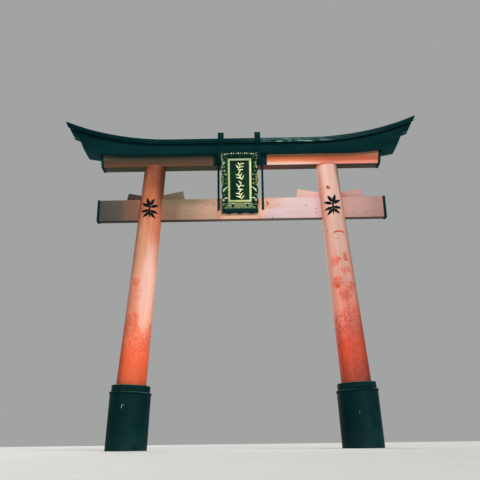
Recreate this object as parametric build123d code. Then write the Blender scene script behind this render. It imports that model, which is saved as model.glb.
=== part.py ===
"""Torii gate: leaning round pillars, a wedged tie beam, an upswept double lintel and a hung plaque.

Millimetres. +X runs along the gate, the front faces -Y, +Z is up, and the origin is on the
ground midway between the pillars.
"""
import os
from math import asin, atan, cos, radians, sin, tan

from build123d import *

# Pillars
foot_spread = 3676  # between the pillar axes at the ground
head_spread = 3030  # between the pillar axes under the lower lintel
head_height = 4720  # ground to the underside of the lower lintel
foot_diameter = 495
head_diameter = 370
head_tenon = (140, 90, 120)  # width, depth and height of the tenon into the lower lintel
fit_gap = 0.3  # clearance in every mortise and sleeve

# Black wraps round the pillar feet
wrap_lean = 2.4  # degrees; they stand a little straighter than the pillars inside them
wrap_diameter = 640
wrap_height = 830
lip_diameter = 658
lip_height = 33
collar_diameter = 605
collar_height = 105

# Tie beam through both pillars
tie_length = 4970
tie_height = 385
tie_thickness = 110

# Black sheet caps over the ends of the tie beam and the lower lintel
cap_thickness = 4
cap_reach = 46  # along the beam

# Wedges driven into the pillars on top of the tie beam
wedge_thickness = 90
wedge_face_height = 88  # at the face of the pillar
wedge_slope = 10.6  # degrees that its top falls towards the pillar
wedge_bite = 125  # how far a wedge runs inside the pillar
left_outer_reach = 235  # how far each wedge stands out of its pillar
left_inner_reach = 385
right_inner_reach = 410
right_outer_reach = 370

# Strut between the tie beam and the lower lintel
strut_height = 605
strut_width = 260
strut_depth = 100

# Lower lintel
lower_length = 4895  # along its underside
lower_height = 208
lower_depth = 200
lower_end_lean = 7.5  # degrees that its ends lean outwards
seat_straight = 3600  # straight stretch of the joint between the two lintels
seat_radius = 4570  # upward curve of that joint, outside the straight stretch

# Upper lintel
upper_length = 5430  # along its underside
upper_depth = 380
upper_end_lean = 24
upper_height = 250  # from its underside to the top edge of the roof boards, at mid span
eave_straight = 2400
roof_length = 6220  # between the tips of the roof boards
tip_rise = 390  # of that edge, from mid span to the tips
roof_pitch = 14
roof_overhang = 60  # of the roof boards past the faces of the upper lintel
roof_thickness = 55
ridge_width = 140
ridge_thickness = 35

# Plaque, hung in front of the strut
plaque_shift = -20  # of the plaque and its ironwork from the middle of the gate
panel_foot_lap = 82  # of the foot of its panel over the face of the tie beam
panel_head_lap = 73  # of the head of its panel past the underside of the lower lintel
plaque_width = 630
plaque_top_border = 97
plaque_bottom_border = 204
field_width = 410
panel_thickness = 24
moulding_width = 38
moulding_thickness = 22
border_root = 30  # thickness of the splayed borders where they meet the panel
border_edge = 22  # and at their outer edge
border_splay = 80  # how far the outer edge stands in front of the back of the plaque
plaque_rest_size = (240, 60)  # width and height of the block behind its lower end
crossbar_height = 40
crossbar_depth = 20

# Ironwork that carries the plaque
plate_shift = -6  # of the plate and the bars from the middle of the gate
plate_width = 940
plate_thickness = 12
bar_spread = 766
bar_width = 38
bar_thickness = 10
bar_lap = 223  # of a bar's foot over the face of the tie beam
bar_head_margin = 20  # below the upper lintel
strap_spread = 644
strap_width = 105
strap_thickness = 10
strap_rise = 110  # above the edge of the roof boards

lean = atan((foot_spread - head_spread) / 2 / head_height)
axis_length = head_height / cos(lean)
tie_top = head_height - strut_height
tie_underside = tie_top - tie_height
seat_height = head_height + lower_height
eave_height = seat_height + upper_height
lip_start = wrap_height
collar_start = lip_start + lip_height
pillar_start = collar_start + collar_height
wrap_angle = radians(wrap_lean)
wrap_foot = foot_spread / 2 - pillar_start * cos(wrap_angle) * (tan(lean) - tan(wrap_angle))
cap_skin = fit_gap + cap_thickness
roof_depth = upper_depth + 2 * roof_overhang
ridge_rise = roof_depth / 2 * tan(radians(roof_pitch))
eave_run = (roof_length - eave_straight) / 2
eave_radius = (eave_run**2 + tip_rise**2) / (2 * tip_rise)
overrun = 200  # past an end that is then cut

os.makedirs("parts", exist_ok=True)


def save(name, solid):
    export_step(solid, f"parts/{name}.step")


def block(x_range, y_range, z_range):
    """A box between two values on each axis."""
    size = [high - low for low, high in (x_range, y_range, z_range)]
    middle = [(high + low) / 2 for low, high in (x_range, y_range, z_range)]
    return Pos(*middle) * Box(*size)


def mid_block(x, width, depth, z_range):
    """A box centred on x and on the plane of the pillars."""
    return block((x - width / 2, x + width / 2), (-depth / 2, depth / 2), z_range)


def on_side(side, solid):
    """What a solid has on one side of the middle of the gate."""
    return solid & block(sorted((0, side * foot_spread)), (-foot_spread, foot_spread), (0, 2 * head_height))


def plate_in_elevation(points, thickness):
    """A closed outline in the X-Z plane, made thickness deep about the plane of the pillars."""
    outline = make_face(Polyline(points, close=True))
    return extrude(Plane.XZ * outline, amount=thickness / 2, both=True)


# Pillars lean towards each other; side is -1 on the left and 1 on the right. The axis of each wrap meets
# its pillar's at the top of the collar.

def shaft_radius(along):
    """Radius of the bare pillar at a distance along its axis from the ground."""
    return (foot_diameter + (head_diameter - foot_diameter) * along / axis_length) / 2


def leaning(side, shape, start, foot=foot_spread / 2, angle=lean):
    """Puts an upright shape on an axis that leans inwards, start up it from the ground."""
    axis = Plane(origin=(side * foot, 0, 0), x_dir=(0, 1, 0), z_dir=(-side * sin(angle), 0, cos(angle)))
    return axis * Pos(0, 0, start) * shape


def shaft(side, start, end, extra=0):
    base = (Align.CENTER, Align.CENTER, Align.MIN)
    cone = Cone(shaft_radius(start) + extra, shaft_radius(end) + extra, end - start, align=base)
    return leaning(side, cone, start)


def sleeve(side, diameter, start, end):
    """A round collar about the pillar, cut flat where it would reach under the ground."""
    base = (Align.CENTER, Align.CENTER, Align.MIN)
    low = start if start > 0 else -overrun
    ring = leaning(side, Cylinder(diameter / 2, end - low, align=base), low, wrap_foot, wrap_angle)
    ring -= shaft(side, low - overrun, end + overrun, fit_gap)
    return ring - block((-foot_spread, foot_spread), (-foot_spread, foot_spread), (-2 * overrun, 0))


def pillar_x(side, height):
    return side * (foot_spread / 2 - height * tan(lean))


def tenon(side, gap=0):
    width, depth, height = head_tenon
    top = head_height + height + gap
    return mid_block(pillar_x(side, head_height), width + 2 * gap, depth + 2 * gap, (head_height, top))


def tie_beam(gap=0):
    heights = (tie_underside - gap, tie_top + gap)
    return mid_block(0, tie_length + 2 * gap, tie_thickness + 2 * gap, heights)


def tie_cap(side):
    between_caps = mid_block(0, tie_length + 2 * (cap_skin - cap_reach), roof_depth, (0, head_height))
    return on_side(side, tie_beam(cap_skin) - tie_beam(fit_gap) - between_caps)


def wedge(side, outward, reach, gap=0):
    """A wedge on the tie beam; outward is 1 away from the middle of the gate and -1 towards it."""
    way = side * outward
    face = shaft_radius(tie_top / cos(lean))
    slope = tan(radians(wedge_slope))
    near, far = face - wedge_bite - gap, face + reach
    near_height = wedge_face_height - (face - near) * slope + gap
    far_height = wedge_face_height + reach * slope + gap
    leaned = far_height * slope
    profile = [(near, -gap), (far, -gap), (far - leaned, far_height - leaned * slope), (near, near_height)]
    start = pillar_x(side, tie_top)
    points = [(start + way * out, tie_top + up) for out, up in profile]
    return plate_in_elevation(points, wedge_thickness + 2 * gap)


wedges = {
    "left_outer_wedge": (-1, 1, left_outer_reach),
    "left_inner_wedge": (-1, -1, left_inner_reach),
    "right_inner_wedge": (1, -1, right_inner_reach),
    "right_outer_wedge": (1, 1, right_outer_reach),
}


def pillar(side):
    post = shaft(side, -overrun, axis_length + overrun)
    post &= mid_block(0, 2 * foot_spread, foot_spread, (0, head_height))
    post -= tie_beam(fit_gap)
    for wedge_side, outward, reach in wedges.values():
        if wedge_side == side:
            post -= wedge(side, outward, reach, fit_gap)
    return post + tenon(side)


# Lintels: the joint between them and the eave above are both straight in the middle and curve up outside.

def upswept_line(straight, radius, reach, height):
    """Left curve, straight stretch and right curve, out to reach on each side of the middle."""
    half = straight / 2
    turn = asin((reach - half) / radius)

    def on_curve(side, angle):
        return side * (half + radius * sin(angle)), height + radius * (1 - cos(angle))

    curves = [ThreePointArc(on_curve(s, turn), on_curve(s, turn / 2), on_curve(s, 0)) for s in (-1, 1)]
    return [curves[0], Line(on_curve(-1, 0), on_curve(1, 0)), curves[1]], on_curve(1, turn)


def above_seat():
    """Everything above the joint between the two lintels."""
    reach = roof_length / 2 + overrun
    line, (reach, rise) = upswept_line(seat_straight, seat_radius, reach, seat_height)
    top = eave_height + 2 * tip_rise
    rim = Polyline((-reach, rise), (-reach, top), (reach, top), (reach, rise))
    return extrude(Plane.XZ * make_face(line + [rim]), amount=roof_depth, both=True)


def between_ends(length, height, end_lean, depth, low=head_height):
    """A deep trapezium as long as length at a height, with ends that lean outwards."""
    high = eave_height + 2 * tip_rise
    ends = [length / 2 + (z - height) * tan(radians(end_lean)) for z in (low, high)]
    points = [(-ends[0], low), (ends[0], low), (ends[1], high), (-ends[1], high)]
    return plate_in_elevation(points, depth)


def lower_beam(gap=0):
    """The lower lintel before it is mortised; a gap widens it on every side but the top."""
    size = (lower_length + 2 * gap, head_height, lower_end_lean, lower_depth + 2 * gap)
    return between_ends(*size, low=head_height - gap) - above_seat()


def lower_lintel():
    return lower_beam() - tenon(-1, fit_gap) - tenon(1, fit_gap)


def lintel_cap(side):
    """Wraps the end, the two faces and the underside; the upper lintel lies on its open top."""
    length = lower_length + 2 * (cap_skin - cap_reach)
    between_caps = between_ends(length, head_height, lower_end_lean, roof_depth, low=tie_top)
    return on_side(side, lower_beam(cap_skin) - lower_beam(fit_gap) - between_caps)


def along_eave(points):
    """Carries a section, given as y and height over the eave, along the upswept eave."""
    line, _ = upswept_line(eave_straight, eave_radius, roof_length / 2 + overrun, eave_height)
    path = Plane.XZ * Wire(line)
    start = Plane(origin=path @ 0, x_dir=(0, 1, 0), z_dir=path % 0)
    return sweep(start * make_face(Polyline(points, close=True)), path=path)


def roof_level(y):
    """Height of the upper face of the roof boards over the eave."""
    return ridge_rise - abs(y) * tan(radians(roof_pitch))


def upper_lintel():
    half = upper_depth / 2
    deep = -(eave_height + tip_rise - head_height)
    top = [(y, roof_level(y) - roof_thickness) for y in (half, 0, -half)]
    beam = along_eave([(-half, deep), (half, deep)] + top)
    return beam & above_seat() & between_ends(upper_length, seat_height, upper_end_lean, roof_depth)


def roof_board(side):
    edge = side * roof_depth / 2
    points = [(0, ridge_rise), (0, ridge_rise - roof_thickness), (edge, -roof_thickness), (edge, 0)]
    return along_eave(points) & roof_ends()


def ridge_board():
    half = ridge_width / 2
    under = [(y, roof_level(y)) for y in (-half, 0, half)]
    over = [(y, level + ridge_thickness) for y, level in reversed(under)]
    return along_eave(under + over) & roof_ends()


def roof_ends():
    return between_ends(roof_length, eave_height + tip_rise, upper_end_lean, 2 * roof_depth)


# Ironwork in front of the lintels. A strip is bent in the Y-Z plane; its points run up the face it lies on.

def bent_strip(x, width, thickness, points):
    line = Polyline(points)
    outline = make_face(offset(line, amount=thickness, side=Side.LEFT, kind=Kind.INTERSECTION))
    middle = Plane(origin=(x, 0, 0), x_dir=(0, 1, 0), z_dir=(1, 0, 0))
    return extrude(middle * outline, amount=width / 2, both=True)


def hanger_plate():
    front = -lower_depth / 2
    half = plate_width / 2
    x_range = (plate_shift - half, plate_shift + half)
    return block(x_range, (front - plate_thickness, front), (head_height, seat_height))


def hanger_bar(side):
    """Lies on the plate, comes back to the tie beam below it and ends on the beam's face."""
    on_plate = -lower_depth / 2 - plate_thickness
    on_tie = -tie_thickness / 2
    points = [
        (on_tie, tie_top - bar_lap),
        (on_tie, tie_top),
        (on_plate, head_height),
        (on_plate, seat_height - bar_head_margin),
    ]
    return bent_strip(plate_shift + side * bar_spread / 2, bar_width, bar_thickness, points)


def hanger_strap(side):
    """Lies on the upper lintel, goes out round the edge of the roof boards and stands up above it."""
    on_lintel = -upper_depth / 2
    on_edge = -roof_depth / 2
    under_roof = eave_height - roof_thickness + roof_level(roof_depth / 2)
    points = [
        (on_lintel, head_height),
        (on_lintel, under_roof - roof_overhang),
        (on_edge, under_roof),
        (on_edge, eave_height + strap_rise),
    ]
    return bent_strip(plaque_shift + side * strap_spread / 2, strap_width, strap_thickness, points)


# Plaque: drawn flat, with x across it, y up it and z out of its face, and then leaned forward.

# The back of the panel leans from the face of the tie beam to the crossbar under the upper lintel.
crossbar_middle = head_height + crossbar_height / 2
panel_foot = tie_top - panel_foot_lap
plaque_tilt = atan((upper_depth - tie_thickness) / 2 / (crossbar_middle - panel_foot))
field_length = (strut_height + panel_foot_lap + panel_head_lap) / cos(plaque_tilt)
field_low = plaque_bottom_border
field_high = plaque_bottom_border + field_length
plaque_length = field_high + plaque_top_border
plaque_foot = panel_foot - field_low * cos(plaque_tilt)
plaque_back = tie_thickness / 2 + fit_gap - field_low * sin(plaque_tilt)
inner_corners = [(-field_width / 2, field_low), (field_width / 2, field_low),
                 (field_width / 2, field_high), (-field_width / 2, field_high)]
outer_corners = [(-plaque_width / 2, 0), (plaque_width / 2, 0),
                 (plaque_width / 2, plaque_length), (-plaque_width / 2, plaque_length)]


def on_plaque(solid):
    """Leans a flat solid forward; it was drawn from the middle of the plaque's lower edge, on its back."""
    normal = (0, -cos(plaque_tilt), -sin(plaque_tilt))
    return Plane(origin=(plaque_shift, -plaque_back, plaque_foot), x_dir=(1, 0, 0), z_dir=normal) * solid


def flat(corners, level=0):
    return Pos(0, 0, level) * make_face(Polyline(corners, close=True))


def field(inset, low, high):
    """A plate over the field of the plaque, inset all round, between two levels."""
    width, length = field_width - 2 * inset, field_length - 2 * inset
    middle = (field_low + field_high) / 2
    return Pos(0, middle, (low + high) / 2) * Box(width, length, high - low)


def panel():
    return field(0, 0, panel_thickness)


def moulding():
    top = panel_thickness + moulding_thickness
    return field(0, panel_thickness, top) - field(moulding_width, 0, top)


def splayed_rim():
    """The four borders in one: a shallow tray with its bottom left out."""
    root_back, root_front = 0, border_root
    edge_back, edge_front = border_splay - border_edge, border_splay
    back = loft([flat(inner_corners, root_back), flat(outer_corners, edge_back)], ruled=True)
    back += extrude(flat(outer_corners, edge_back), amount=border_edge)
    front = loft([flat(inner_corners, root_front), flat(outer_corners, edge_front)], ruled=True)
    front += extrude(flat(inner_corners), amount=root_front)
    return back - front


def border(rim, first):
    """One side of the rim, mitred at the corners first and first + 1."""
    second = (first + 1) % 4
    corners = [inner_corners[first], outer_corners[first], outer_corners[second], inner_corners[second]]
    return rim & extrude(flat(corners), amount=border_splay)


def behind_plaque(solid):
    """Cuts away what would reach into the plaque."""
    return solid - on_plaque(extrude(flat(outer_corners), amount=border_splay))


def plaque_rest():
    width, height = plaque_rest_size
    face = -tie_thickness / 2
    half = width / 2
    x_range = (plaque_shift - half, plaque_shift + half)
    return behind_plaque(block(x_range, (face - height, face), (panel_foot, panel_foot + height)))


def plaque_crossbar():
    half = (strap_spread + strap_width) / 2
    front = -upper_depth / 2
    x_range = (plaque_shift - half, plaque_shift + half)
    heights = (head_height, head_height + crossbar_height)
    return behind_plaque(block(x_range, (front, front + crossbar_depth), heights))


for label, side in (("left", -1), ("right", 1)):
    save(f"{label}_pillar", pillar(side))
    save(f"{label}_base_wrap", sleeve(side, wrap_diameter, 0, lip_start))
    save(f"{label}_base_lip", sleeve(side, lip_diameter, lip_start, collar_start))
    save(f"{label}_base_collar", sleeve(side, collar_diameter, collar_start, pillar_start))
    save(f"{label}_tie_cap", tie_cap(side))
    save(f"{label}_lintel_cap", lintel_cap(side))
    save(f"{label}_hanger_bar", hanger_bar(side))
    save(f"{label}_hanger_strap", hanger_strap(side))

for name, values in wedges.items():
    save(name, wedge(*values))

save("tie_beam", tie_beam())
save("centre_strut", mid_block(0, strut_width, strut_depth, (tie_top, head_height)))
save("lower_lintel", lower_lintel())
save("upper_lintel", upper_lintel())
save("front_roof_board", roof_board(-1))
save("back_roof_board", roof_board(1))
save("ridge_board", ridge_board())
save("hanger_plate", hanger_plate())
save("plaque_rest", plaque_rest())
save("plaque_crossbar", plaque_crossbar())
save("plaque_panel", on_plaque(panel()))
save("plaque_moulding", on_plaque(moulding()))

rim = splayed_rim()
for first, place in enumerate(("bottom", "right", "top", "left")):
    save(f"plaque_{place}_border", on_plaque(border(rim, first)))
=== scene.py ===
"""Dresses the torii gate: faded orange paint, black lintel and foot wraps, ironwork and a carved plaque.

Metres, in the frame of the solids: +X runs along the gate, the front faces -Y and +Z is up.
"""

from math import asin, atan, atan2, cos, exp, hypot, pi, radians, sin, tan

import bmesh
import bpy
from mathutils import Matrix, Vector, noise


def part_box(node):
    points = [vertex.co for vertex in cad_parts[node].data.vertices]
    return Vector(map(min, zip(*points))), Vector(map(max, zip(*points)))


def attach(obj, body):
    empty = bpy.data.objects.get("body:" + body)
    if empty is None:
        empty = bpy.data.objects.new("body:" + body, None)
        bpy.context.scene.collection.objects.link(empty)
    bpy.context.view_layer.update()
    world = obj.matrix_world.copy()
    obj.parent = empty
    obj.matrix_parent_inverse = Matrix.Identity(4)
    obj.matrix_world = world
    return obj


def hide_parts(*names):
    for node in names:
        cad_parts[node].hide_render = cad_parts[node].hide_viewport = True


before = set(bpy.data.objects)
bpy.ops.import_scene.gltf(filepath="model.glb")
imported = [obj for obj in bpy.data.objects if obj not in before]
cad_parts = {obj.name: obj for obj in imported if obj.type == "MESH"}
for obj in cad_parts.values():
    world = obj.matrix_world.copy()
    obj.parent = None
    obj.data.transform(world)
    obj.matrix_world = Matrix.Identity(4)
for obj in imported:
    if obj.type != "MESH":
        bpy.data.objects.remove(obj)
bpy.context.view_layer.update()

# Sizes read from the frame
tie_low, tie_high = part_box("tie_beam")
plate_low, plate_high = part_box("hanger_plate")
head_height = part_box("lower_lintel")[0].z
lintel_half = -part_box("upper_lintel")[0].y
roof_half = -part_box("front_roof_board")[0].y
ridge_half = -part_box("ridge_board")[0].y
panel_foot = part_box("plaque_rest")[0].z
crossbar_middle = sum(corner.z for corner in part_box("plaque_crossbar")) / 2

# Pillars and their wraps, by side: -1 is left and 1 is right
labels = {-1: "left", 1: "right"}
foot_spread = 3.676
head_spread = 3.03
foot_radius = 0.2475
head_radius = 0.185
wrap_radius = 0.32
lip_radius = 0.329
collar_radius = 0.3025
lip_start = 0.83
collar_start = 0.863
pillar_start = 0.968
lean = atan((foot_spread - head_spread) / 2 / head_height)
wrap_lean = radians(2.4)
wrap_foot = foot_spread / 2 - pillar_start * cos(wrap_lean) * (tan(lean) - tan(wrap_lean))
axis_length = head_height / cos(lean)

# Roof boards over the upper lintel
eave_height = 5.178
eave_straight = 2.4
roof_length = 6.22
tip_rise = 0.39
end_lean = radians(24)
roof_pitch = radians(14)
roof_thickness = 0.055
batten_set_back = 0.01
batten_width = 0.03
batten_height = 0.028
ridge_thickness = 0.035
ridge_rise = roof_half * tan(roof_pitch)
eave_run = (roof_length - eave_straight) / 2
eave_radius = (eave_run**2 + tip_rise**2) / (2 * tip_rise)

# Plaque, in its own axes: u across it, v up it from its lower edge and w out of its face
plaque_u = -0.02
plaque_half = 0.315
field_half = 0.205
field_low = 0.204
field_rise = 0.76
top_border = 0.097
border_root = 0.03
border_splay = 0.08
panel_front = 0.024
seat_gap = 0.0003
plaque_tilt = atan((tie_low.y + lintel_half) / (crossbar_middle - panel_foot))
field_high = field_low + field_rise / cos(plaque_tilt)
plaque_length = field_high + top_border
plaque_origin = Vector((
    plaque_u,
    tie_low.y - seat_gap + field_low * sin(plaque_tilt),
    panel_foot - field_low * cos(plaque_tilt),
))

# Making pieces
merge_distance = 0.00002
overrun = 0.1  # past an end that is then cut


def linked(name, data):
    """A new object in the scene."""
    made = bpy.data.objects.new(name, data)
    bpy.context.scene.collection.objects.link(made)
    return made


def mesh_from(name, bm):
    mesh = bpy.data.meshes.new(name)
    bm.to_mesh(mesh)
    bm.free()
    return mesh


def piece(name, bm, finish, *nodes):
    """Turns a bmesh into a piece of the gate, standing for its CAD nodes."""
    bmesh.ops.recalc_face_normals(bm, faces=bm.faces)
    mesh = mesh_from(name, bm)
    mesh.shade_smooth()
    mesh.set_sharp_from_angle(angle=radians(32))
    mesh.materials.append(finish.material)
    made = linked(name, mesh)
    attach(made, "root")
    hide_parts(*nodes)


def round_off(bm, edges, width, segments=2):
    return bmesh.ops.bevel(bm, geom=edges, offset=width, segments=segments, profile=0.5, affect="EDGES",
                           material=-1)


def ease(bm, width, segments=2, over=radians(25)):
    """Rounds every edge that is sharper than an angle."""
    sharp = [edge for edge in bm.edges if edge.is_manifold and edge.calc_face_angle() > over]
    round_off(bm, sharp, width, segments)
    return bm


def dress(node, name, edge, finish, segments=2):
    """A piece for one CAD node: a copy of it, merged into flat faces and with eased edges."""
    bm = bmesh.new()
    bm.from_mesh(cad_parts[node].data)
    bmesh.ops.remove_doubles(bm, verts=bm.verts, dist=merge_distance)
    bmesh.ops.dissolve_limit(bm, angle_limit=radians(0.3), verts=bm.verts, edges=bm.edges)
    piece(name, ease(bm, edge, segments), finish, node)


def add_block(bm, low, high):
    """A box between two corners."""
    low, high = Vector(low), Vector(high)
    size = Matrix.Diagonal((*(high - low), 1))
    return bmesh.ops.create_cube(bm, size=1, matrix=Matrix.Translation((low + high) / 2) @ size)["verts"]


def add_ball(bm, place, size, sides, rings):
    """A ball at a place, flattened where its three half sizes differ."""
    bmesh.ops.create_uvsphere(bm, u_segments=sides, v_segments=rings, radius=1,
                              matrix=place @ Matrix.Diagonal((*size, 1)))


def add_dome(bm, x, y, z, radius, height):
    """A nail or rivet head on a face that looks to the front."""
    place = Matrix.Translation((x, y, z)) @ Matrix.Rotation(pi / 2, 4, "X")
    add_ball(bm, place, (radius, radius, height), 10, 6)


def lay(bm, verts, place, heading):
    """Turns a flat shape by degrees and takes it to its place."""
    matrix = Matrix.Translation(place) @ Matrix.Rotation(radians(heading), 4, "Z")
    bmesh.ops.transform(bm, matrix=matrix, verts=verts)


def trim(bm, point, outwards):
    """Cuts off what lies past a plane and closes the cut."""
    geometry = bm.verts[:] + bm.edges[:] + bm.faces[:]
    cut = bmesh.ops.bisect_plane(bm, geom=geometry, plane_co=point, plane_no=outwards, clear_outer=True)
    rim = [item for item in cut["geom_cut"] if isinstance(item, bmesh.types.BMEdge)]
    bmesh.ops.holes_fill(bm, edges=rim)


# Marks read from the photograph, as places on the gate
joint_x = -0.395
nail_places = [
    (-0.607, 3.999), (0.645, 3.986), (1.117, 3.957), (1.291, 3.9), (1.288, 3.826), (1.917, 3.815),
    (2.122, 3.812), (0.537, 3.74), (0.323, 3.779), (-2.403, 3.87), (-0.957, 3.898), (-0.669, 3.946),
    (-0.473, 4.006),
]
# Knots in the tie beam: across, height and radius
knots = [(0.448, 4.034, 0.026), (0.462, 4.0, 0.03), (0.44, 3.965, 0.016), (-0.3, 3.765, 0.016)]
# Patches of the red coat: how far up the axis, degrees right of straight ahead, radius and strength
red_patches = {
    -1: [(2.64, -30, 0.06, 1.0), (2.62, -12, 0.06, 1.0), (2.59, -20, 0.06, 1.1), (2.45, -10, 0.25, 0.45),
         (2.01, -9, 0.12, 1.0), (1.86, -19, 0.13, 1.1), (2.02, 34, 0.16, -0.8)],
    1: [(2.94, -27, 0.14, 1.05), (3.03, 22, 0.06, 1.25), (2.95, 22, 0.06, 1.25), (2.77, 16, 0.105, 0.9),
        (2.57, -34, 0.12, 0.95), (2.5, 26, 0.11, 0.75), (2.34, -2, 0.13, 0.6), (2.75, 0, 0.45, 0.12),
        (1.93, 14, 0.28, 0.3), (2.12, -46, 0.22, -0.25)],
}
# Small brushed or bare spots on the pillars: how far up, degrees, radius and colour
pillar_dots = {
    -1: [(3.16, 9, 0.012, (110, 76, 60)), (3.22, 14, 0.01, (110, 76, 60)), (3.08, 5, 0.01, (120, 84, 66))],
    1: [(4.24, -14, 0.045, (196, 116, 84)), (4.263, -18, 0.028, (96, 60, 44)),
        (3.478, -49, 0.014, (120, 60, 48)), (3.308, -4, 0.012, (130, 70, 56)),
        (2.505, -31, 0.045, (214, 76, 42))],
}
# Streaks on the pillars, some of paint, some painted highlights and some painted shade: middle and half width
# across, middle and half height, strength and colour
tints = {
    -1: [(-0.1, 0.15, 3.15, 0.6, 0.6, (190, 132, 96)), (-0.08, 0.13, 2.35, 0.7, 0.7, (206, 116, 86)),
         (0.105, 0.12, 2.6, 1.0, 0.8, (217, 171, 159)), (0.215, 0.04, 2.7, 1.0, 0.5, (236, 118, 74)),
         (0.17, 0.09, 2.45, 0.9, 0.6, (240, 186, 167)), (0.16, 0.14, 3.62, 0.5, 0.8, (190, 98, 66)),
         (0.1, 0.1, 2.0, 0.5, 0.6, (226, 170, 156)), (-0.09, 0.13, 4.3, 0.5, 0.45, (180, 110, 74))],
    1: [(-0.2, 0.12, 2.9, 1.5, 0.6, (246, 176, 160)), (0.21, 0.08, 2.6, 0.7, 0.5, (222, 168, 148)),
        (-0.19, 0.1, 4.1, 0.7, 0.7, (240, 150, 118)), (0.0, 0.11, 3.3, 1.0, 0.4, (232, 194, 182)),
        (0.175, 0.05, 4.4, 0.7, 0.6, (146, 124, 96))],
}
# Painted shade on the pillars' sides and near their heads: from and to across, from and to height, and
# strength
painted_side_shade = {
    -1: [(-0.07, -0.2, 0.0, 0.1, 0.35), (0.03, 0.18, 3.65, 4.25, 0.7), (-0.08, -0.17, 4.2, 4.6, 0.3)],
    1: [(-0.12, 0.02, 0.0, 0.1, 0.37), (0.09, 0.19, 0.0, 0.1, 0.36), (0.08, 0.17, 4.2, 4.6, 0.5)],
}
# The pillars' bare paint, with painted shade darkening the left pillar towards its head, and the red coat
# over it: height and colour
fading_and_shade = {
    -1: [(1.3, (208, 92, 52)), (1.8, (220, 112, 74)), (2.3, (222, 142, 116)), (2.9, (208, 156, 134)),
         (3.7, (192, 126, 94)), (4.3, (176, 97, 58)), (4.7, (128, 60, 24)), (5.0, (114, 53, 20))],
    1: [(1.3, (196, 67, 40)), (1.9, (222, 98, 68)), (2.4, (238, 149, 127)), (3.0, (225, 161, 141)),
        (3.8, (226, 174, 156)), (4.6, (246, 197, 182))],
}
red_coats = {
    -1: [(1.0, (200, 80, 42)), (1.5, (230, 84, 42)), (2.2, (222, 86, 50))],
    1: [(1.0, (166, 58, 34)), (1.5, (216, 69, 36)), (2.2, (238, 92, 70))],
}
# The heights where the red coat begins, thinly, and where it is at its thickest
red_reach = {-1: (2.6, 1.5), 1: (3.0, 1.6)}
# The heights up to which the red coat is whole, and from which pink veins break it
whole_red = {-1: (1.3, 1.75), 1: (1.5, 2.0)}
pink_coats = {-1: (236, 138, 104), 1: (242, 142, 122)}
speck_depth = {-1: 0.2, 1: 0.3}
# Under the lintel: fresher paint in its shelter, and its painted shadow, darkest on the left
rims = {-1: (124, 60, 24), 1: (214, 102, 66)}
# Rubbed edges of the wraps, with painted highlights along them: height up the axis, middle and half width
# across, and strength
rubbed_and_lit_edges = {
    -1: [(collar_start, 0.12, 0.26, 0.5), (collar_start, 0.26, 0.09, 0.8), (pillar_start, -0.22, 0.16, 0.8),
         (pillar_start, 0.0, 0.3, 0.8)],
    1: [(collar_start, -0.2, 0.14, 0.5), (collar_start, 0.27, 0.09, 0.9), (pillar_start, -0.02, 0.34, 0.7)],
}
# Small pale spots on the wraps: across, height up the axis, half width, half height and strength
pale_spots = {
    -1: [(-0.06, 0.64, 0.008, 0.034, 0.6), (-0.035, 0.664, 0.012, 0.012, 0.4)],
    1: [(-0.055, 0.512, 0.008, 0.03, 0.2)],
}


# Paint and metal

def tone(colour):
    """A screen colour, 0 to 255, in the linear values that a shader takes."""
    def linear(value):
        value /= 255
        return value / 12.92 if value <= 0.04045 else ((value + 0.055) / 1.055) ** 2.4
    return (*map(linear, colour), 1)


class Amount:
    """A number that varies over a surface; arithmetic with it adds nodes to its finish."""

    def __init__(self, finish, socket):
        self.finish = finish
        self.socket = socket

    def math(self, operation, *others):
        return self.finish.amount("Math", dict(enumerate((self, *others))), "Value", operation=operation)

    def __add__(self, other):
        return self.math("ADD", other)

    def __sub__(self, other):
        return self.math("SUBTRACT", other)

    def __mul__(self, other):
        return self.math("MULTIPLY", other)

    def __abs__(self):
        return self.math("ABSOLUTE")

    __radd__ = __add__
    __rmul__ = __mul__

    def ramp(self, start, end):
        """0 before start and 1 past end, with a soft turn; start may be the higher one."""
        inputs = {"Value": self, "From Min": start, "From Max": end}
        return self.finish.amount("MapRange", inputs, "Result", interpolation_type="SMOOTHSTEP")

    def spread(self, low, high):
        """Takes 0 to 1 to the range from low to high."""
        return self.finish.amount("MapRange", {"Value": self, "To Min": low, "To Max": high}, "Result")

    def band(self, middle, half, core=0.5):
        """1 in the core of a band of values, softly down to 0 at its sides."""
        return abs(self - middle).ramp(half, half * core)


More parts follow.
